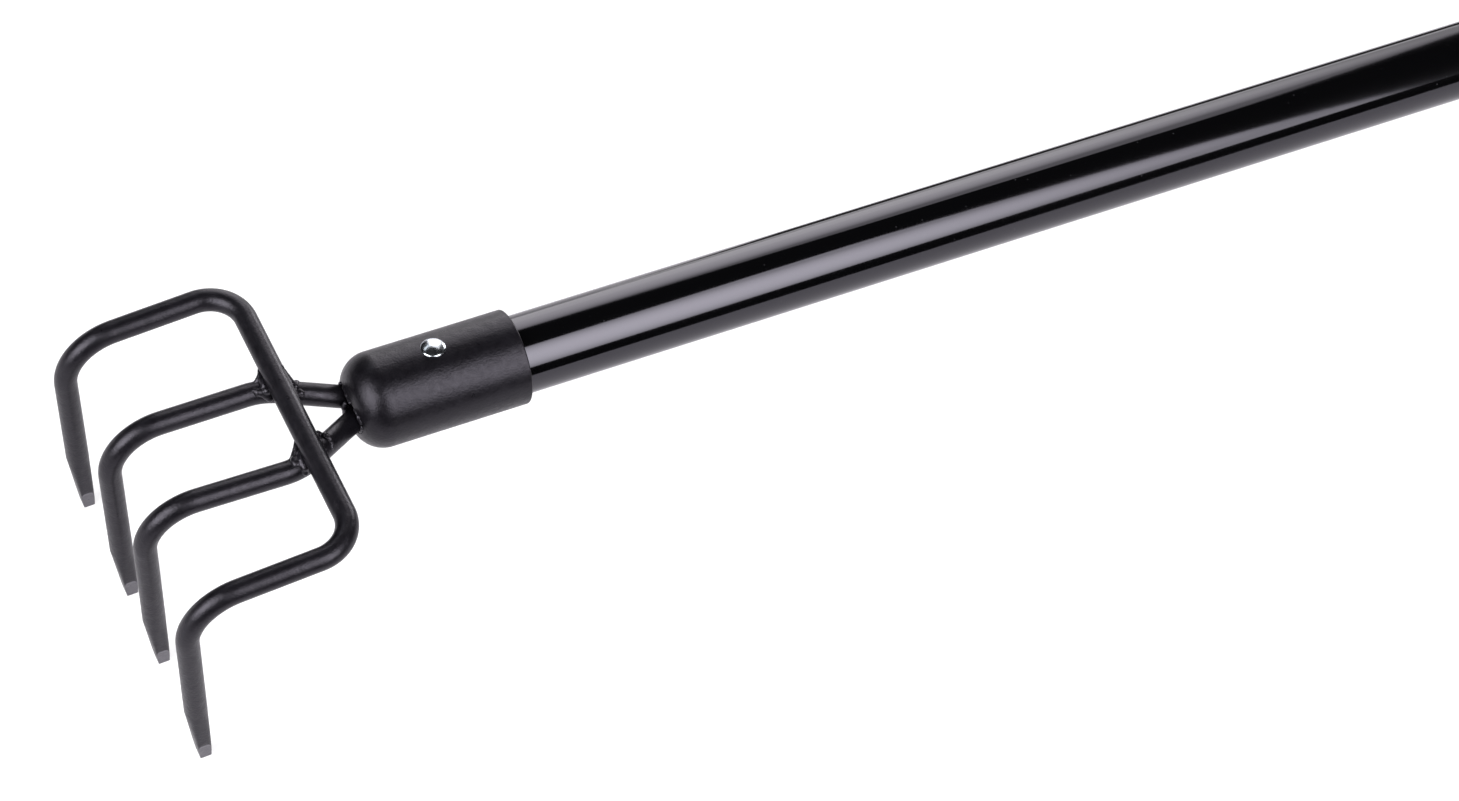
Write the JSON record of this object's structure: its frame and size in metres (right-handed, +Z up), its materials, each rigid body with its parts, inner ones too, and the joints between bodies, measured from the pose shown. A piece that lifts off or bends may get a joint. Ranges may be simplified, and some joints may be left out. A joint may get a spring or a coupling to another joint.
{
  "type": "hand cultivator",
  "caption": "Long-handled soil cultivator: bent round-rod tines welded into a riveted steel socket on a tubular handle with a hanging hole.",
  "frame": {"origin": "on the ground, under the middle of the tool's overall length and width, as it lies on its tine tips and the end of its handle", "axes": "+X from the tines towards the end of the handle, +Y to the right of a person who holds the handle and faces the tines, +Z up, away from the ground the tips stand on"},
  "size_m": [1.1974, 0.1254, 0.1011],
  "materials": {
    "black_powder_coat": "matte black powder coat on steel",
    "gloss_black_paint": "smooth gloss black paint on steel tube",
    "zinc_plated_steel": "bright zinc plating",
    "black_plastic": "moulded matte black plastic"
  },
  "bodies": {
    "root": {"outer_tine_rod": "black_powder_coat", "inner_tine_left": "black_powder_coat", "inner_tine_right": "black_powder_coat", "crossing_weld_front_left": "black_powder_coat", "crossing_weld_front_right": "black_powder_coat", "crossing_weld_rear_left": "black_powder_coat", "crossing_weld_rear_right": "black_powder_coat", "socket": "black_powder_coat", "socket_weld": "black_powder_coat", "rivet": "zinc_plated_steel", "handle_tube": "gloss_black_paint", "end_cap": "black_plastic"}
  },
  "joints": []
}
